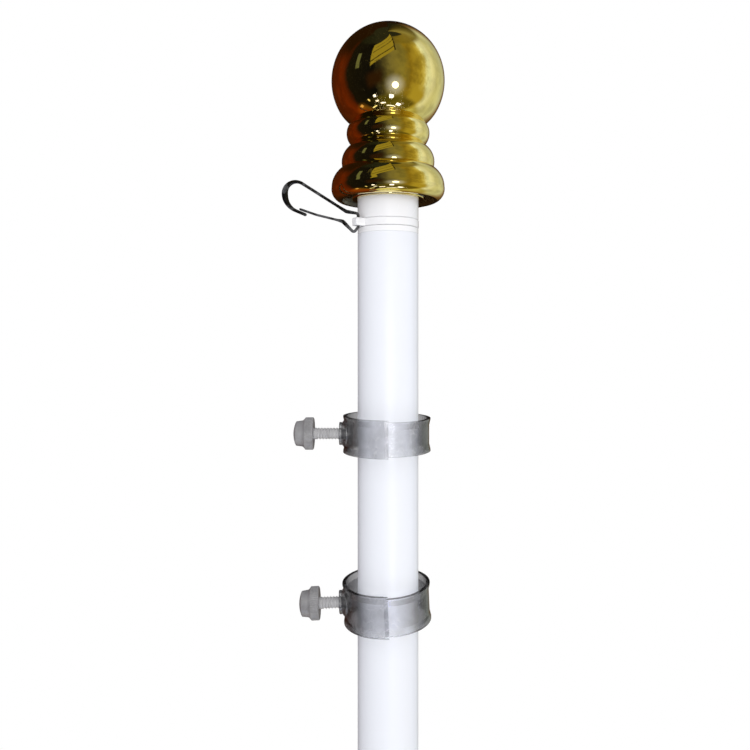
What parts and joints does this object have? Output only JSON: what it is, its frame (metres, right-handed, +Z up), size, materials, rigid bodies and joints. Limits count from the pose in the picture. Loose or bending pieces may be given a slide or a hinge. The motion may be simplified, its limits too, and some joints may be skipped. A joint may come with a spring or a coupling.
{
  "type": "house flagpole",
  "caption": "Slim white tubular flagpole with a gold ball finial, a swivelling snap hook under it and clear anti-wrap rings with thumb screws.",
  "frame": {"origin": "centre of the pole's flat foot", "axes": "+Z up the pole, -X towards the snap hook and the thumb screws, -Y towards the viewer"},
  "size_m": [0.0672, 0.0474, 1.5536],
  "materials": {
    "gold_plating": "vacuum metallised, mirror gloss",
    "white_paint": "powder coat, semi-gloss",
    "white_plastic": "moulded, semi-gloss",
    "black_wire": "black coated spring wire",
    "smoke_plastic": "translucent grey, moulded",
    "frosted_plastic": "frosted grey, moulded"
  },
  "bodies": {
    "pole": {"bottom_cap": "white_plastic", "lower_tube": "white_paint", "upper_tube": "white_paint", "top_plug": "white_plastic", "finial_ball": "gold_plating"},
    "swivel": {"swivel_ring": "white_plastic"},
    "hook": {"wire_hook": "black_wire"},
    "upper_ring": {"upper_ring_boss_half": "smoke_plastic", "upper_ring_plain_half": "smoke_plastic"},
    "upper_screw": {"upper_thumb_screw": "frosted_plastic"},
    "lower_ring": {"lower_ring_boss_half": "smoke_plastic", "lower_ring_plain_half": "smoke_plastic"},
    "lower_screw": {"lower_thumb_screw": "frosted_plastic"}
  },
  "joints": [
    {"name": "swivel_turn", "type": "hinge", "parent": "pole", "child": "swivel", "pos_m": [0, 0, 1.4701], "axis": [0, 0, 1], "continuous": true},
    {"name": "hook_swing", "type": "hinge", "parent": "swivel", "child": "hook", "pos_m": [-0.0123, -0.0083, 1.4701], "axis": [0, 0, 1], "range_deg": [-36, 104]},
    {"name": "upper_ring_turn", "type": "hinge", "parent": "pole", "child": "upper_ring", "pos_m": [0, 0, 1.3826], "axis": [0, 0, 1], "continuous": true},
    {"name": "upper_screw_travel", "type": "slide", "parent": "upper_ring", "child": "upper_screw", "axis": [-1, 0, 0], "range_m": [-0.0024, 0.004]},
    {"name": "lower_ring_turn", "type": "hinge", "parent": "pole", "child": "lower_ring", "pos_m": [0, 0, 1.3128], "axis": [0, 0, 1], "continuous": true},
    {"name": "lower_screw_travel", "type": "slide", "parent": "lower_ring", "child": "lower_screw", "axis": [-0.999, 0, -0.0454], "range_m": [0, 0.0064]}
  ]
}
